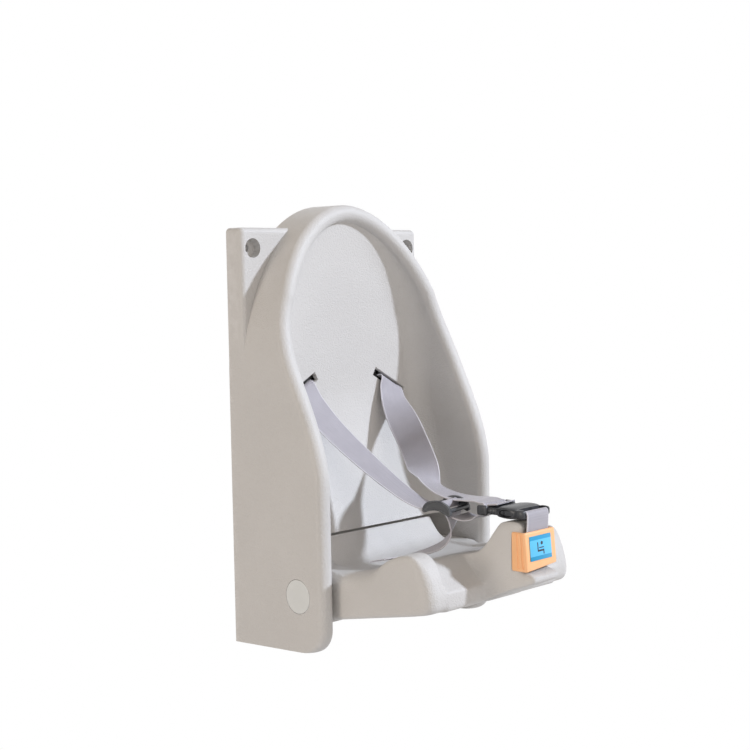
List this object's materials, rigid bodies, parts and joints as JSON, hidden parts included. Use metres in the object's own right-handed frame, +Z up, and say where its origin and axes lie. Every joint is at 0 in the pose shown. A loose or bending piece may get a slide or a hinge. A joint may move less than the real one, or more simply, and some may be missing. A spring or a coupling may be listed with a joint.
{
  "type": "wall mounted child seat",
  "caption": "Fold-up child safety seat on a moulded wall shell with a domed back, rounded side walls, crotch post, shoulder harness and buckle.",
  "frame": {"origin": "on the wall plane, in the middle of the shell's width, half way up its side walls (246 mm above their rear bottom edge)", "axes": "+Z up, +Y into the wall, -Y towards the room, +X to the right of a person who faces the seat"},
  "size_m": [0.3006, 0.3509, 0.52],
  "materials": {
    "shell_grey": "fine pebble grain, warm light grey",
    "cap_grey": "smooth satin, pale grey",
    "cover_grey": "fine grain, mid grey",
    "webbing": "woven, pale lavender grey",
    "buckle_black": "satin black",
    "holder_orange": "satin, peach orange",
    "label_blue": "printed, light blue",
    "steel": "zinc plated",
    "nylon": "natural",
    "rubber": "matt black"
  },
  "bodies": {
    "shell": {"back_cover": "cover_grey", "back_cover_screw_1": "steel", "back_cover_screw_2": "steel", "back_cover_screw_3": "steel", "back_cover_screw_4": "steel", "body_shell": "shell_grey", "left_shoulder_strap": "webbing", "lower_back_cover": "cover_grey", "lower_back_cover_screw_1": "steel", "lower_back_cover_screw_2": "steel", "lower_back_cover_screw_3": "steel", "lower_back_cover_screw_4": "steel", "pivot_bush_left": "nylon", "pivot_bush_right": "nylon", "pivot_cap_left": "cap_grey", "pivot_cap_right": "cap_grey", "right_shoulder_strap": "webbing", "stop_buffer_left": "rubber", "stop_buffer_right": "rubber", "strap_anchor_left": "steel", "strap_anchor_right": "steel"},
    "seat": {"base_screw_front_left": "steel", "base_screw_front_right": "steel", "base_screw_rear_left": "steel", "base_screw_rear_right": "steel", "crotch_anchor_plate": "steel", "crotch_anchor_screw_left": "steel", "crotch_anchor_screw_right": "steel", "crotch_strap": "webbing", "label_holder": "holder_orange", "label_plate": "label_blue", "pivot_bolt_left": "steel", "pivot_bolt_right": "steel", "pivot_nut_left": "steel", "pivot_nut_right": "steel", "pivot_washer_left": "steel", "pivot_washer_right": "steel", "seat_base": "cover_grey", "seat_pan": "shell_grey"},
    "buckle": {"buckle_socket": "buckle_black"},
    "tongue": {"buckle_tongue": "buckle_black", "link_strap": "webbing", "left_strap_tail": "webbing"},
    "adjuster": {"slide_adjuster": "buckle_black"},
    "arm_left": {"tongue_arm_left": "buckle_black"},
    "arm_right": {"tongue_arm_right": "buckle_black"}
  },
  "joints": [
    {"name": "seat_fold", "type": "hinge", "parent": "shell", "child": "seat", "pos_m": [0, -0.111, -0.176], "axis": [-1, 0, 0], "range_deg": [0, 75], "deforming": ["left_shoulder_strap", "right_shoulder_strap"]},
    {"name": "buckle_swing", "type": "hinge", "parent": "seat", "child": "buckle", "pos_m": [0, -0.3445, -0.0835], "axis": [1, 0, 0], "range_deg": [0, 170], "deforming": ["crotch_strap"]},
    {"name": "tongue_slide", "type": "slide", "parent": "buckle", "child": "tongue", "axis": [0, 1, 0], "range_m": [0, 0.035]},
    {"name": "adjuster_slide", "type": "slide", "parent": "tongue", "child": "adjuster", "axis": [-0.2259, 0.8577, 0.4618], "range_m": [0, 0.03], "deforming": ["link_strap", "left_strap_tail"]},
    {"name": "arm_left_press", "type": "hinge", "parent": "tongue", "child": "arm_left", "pos_m": [-0.01975, -0.3002, -0.076], "axis": [0, 0, 1], "range_deg": [0, 7], "stiffness_Nm_per_rad": 0.05},
    {"name": "arm_right_press", "type": "hinge", "parent": "tongue", "child": "arm_right", "pos_m": [0.01975, -0.3002, -0.076], "axis": [0, 0, -1], "range_deg": [0, 7], "stiffness_Nm_per_rad": 0.05}
  ],
  "couplings": [
    {"joint": "buckle_swing", "follows": "seat_fold", "ratio": 2.2667},
    {"joint": "arm_right_press", "follows": "arm_left_press", "ratio": 1}
  ]
}
